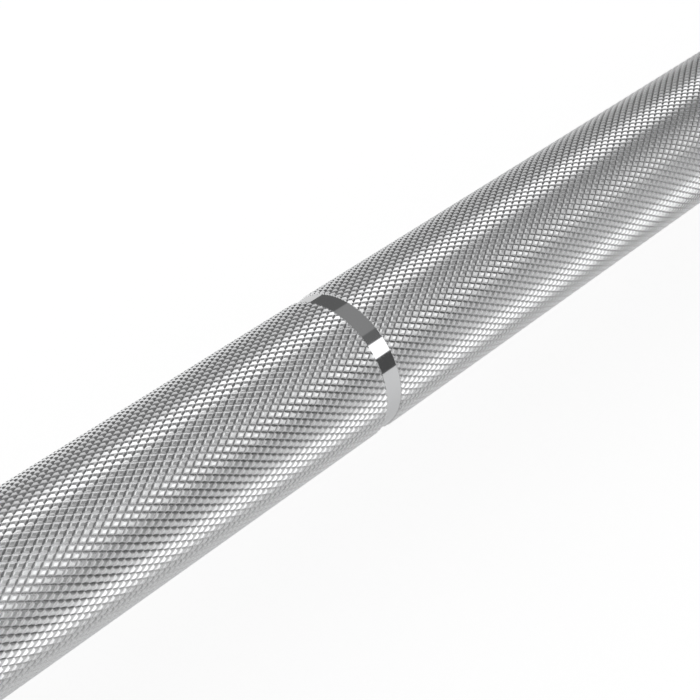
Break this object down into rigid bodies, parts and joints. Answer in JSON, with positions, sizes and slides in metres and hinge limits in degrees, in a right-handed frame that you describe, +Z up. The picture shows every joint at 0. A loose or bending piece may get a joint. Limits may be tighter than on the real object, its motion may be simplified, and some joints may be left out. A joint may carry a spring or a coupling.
{
  "type": "barbell",
  "caption": "Straight knurled steel bar with a collar and a free-turning loading sleeve on bearings at each end; takes weight plates.",
  "frame": {"origin": "middle of the bar, on its axis", "axes": "+X along the bar towards the right sleeve, +Z up"},
  "size_m": [2.2, 0.076, 0.076],
  "materials": {
    "chrome": "polished hard chrome",
    "bearing_steel": "ground hardened steel, oiled",
    "bronze": "sintered bearing bronze",
    "rubber": "black nitrile",
    "cap_alloy": "turned, satin"
  },
  "bodies": {
    "bar": {"shaft": "chrome", "right_inner_thrust_washer": "bearing_steel", "right_outer_thrust_washer": "bearing_steel", "right_shaft_ring": "bearing_steel", "left_inner_thrust_washer": "bearing_steel", "left_outer_thrust_washer": "bearing_steel", "left_shaft_ring": "bearing_steel"},
    "right_sleeve": {"right_sleeve": "chrome", "right_collar": "chrome", "right_dust_seal": "rubber", "right_inner_bushing": "bronze", "right_inner_bearing_cup": "bearing_steel", "right_outer_bearing_cup": "bearing_steel", "right_outer_bushing": "bronze", "right_end_cap": "cap_alloy", "right_cap_seal": "rubber", "right_cap_ring": "bearing_steel"},
    "left_sleeve": {"left_sleeve": "chrome", "left_collar": "chrome", "left_dust_seal": "rubber", "left_inner_bushing": "bronze", "left_inner_bearing_cup": "bearing_steel", "left_outer_bearing_cup": "bearing_steel", "left_outer_bushing": "bronze", "left_end_cap": "cap_alloy", "left_cap_seal": "rubber", "left_cap_ring": "bearing_steel"},
    "right_inner_rollers": {"right_inner_bearing_cage": "bearing_steel", "right_inner_bearing_needles": "bearing_steel"},
    "right_outer_rollers": {"right_outer_bearing_cage": "bearing_steel", "right_outer_bearing_needles": "bearing_steel"},
    "left_inner_rollers": {"left_inner_bearing_cage": "bearing_steel", "left_inner_bearing_needles": "bearing_steel"},
    "left_outer_rollers": {"left_outer_bearing_cage": "bearing_steel", "left_outer_bearing_needles": "bearing_steel"}
  },
  "joints": [
    {"name": "right_sleeve_spin", "type": "hinge", "parent": "bar", "child": "right_sleeve", "pos_m": [0.8915, 0, 0], "axis": [1, 0, 0], "continuous": true},
    {"name": "left_sleeve_spin", "type": "hinge", "parent": "bar", "child": "left_sleeve", "pos_m": [-0.8915, 0, 0], "axis": [1, 0, 0], "continuous": true},
    {"name": "right_inner_rollers_spin", "type": "hinge", "parent": "bar", "child": "right_inner_rollers", "pos_m": [0.7131, 0, 0], "axis": [1, 0, 0], "continuous": true},
    {"name": "right_outer_rollers_spin", "type": "hinge", "parent": "bar", "child": "right_outer_rollers", "pos_m": [1.0284, 0, 0], "axis": [1, 0, 0], "continuous": true},
    {"name": "left_inner_rollers_spin", "type": "hinge", "parent": "bar", "child": "left_inner_rollers", "pos_m": [-0.7131, 0, 0], "axis": [1, 0, 0], "continuous": true},
    {"name": "left_outer_rollers_spin", "type": "hinge", "parent": "bar", "child": "left_outer_rollers", "pos_m": [-1.0284, 0, 0], "axis": [1, 0, 0], "continuous": true}
  ],
  "couplings": [
    {"joint": "right_inner_rollers_spin", "follows": "right_sleeve_spin", "ratio": 0.54546},
    {"joint": "right_outer_rollers_spin", "follows": "right_sleeve_spin", "ratio": 0.54546},
    {"joint": "left_inner_rollers_spin", "follows": "left_sleeve_spin", "ratio": 0.54546},
    {"joint": "left_outer_rollers_spin", "follows": "left_sleeve_spin", "ratio": 0.54546}
  ]
}
